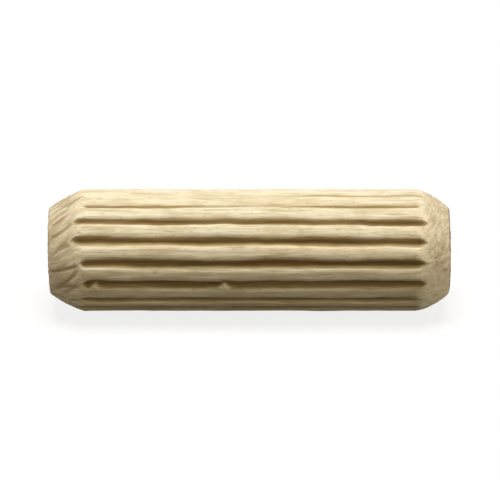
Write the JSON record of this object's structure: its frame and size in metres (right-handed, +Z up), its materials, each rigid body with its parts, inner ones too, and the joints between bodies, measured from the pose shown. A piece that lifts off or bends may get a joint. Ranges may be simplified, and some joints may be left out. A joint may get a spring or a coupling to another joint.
{
  "type": "dowel pin",
  "caption": "Short wooden dowel pin with straight lengthwise flutes and crowned, chamfered ends, for glued joints between boards.",
  "frame": {"origin": "middle of the pin, on its axis", "axes": "+X along the pin's axis, +Z up with the pin lying on the two ridges beside its lowest flute"},
  "size_m": [0.0312, 0.0096, 0.0094],
  "materials": {
    "wood": "bare pale hardwood, machined and pressed, with rougher sawn ends"
  },
  "bodies": {
    "root": {"dowel_pin": "wood"}
  },
  "joints": []
}
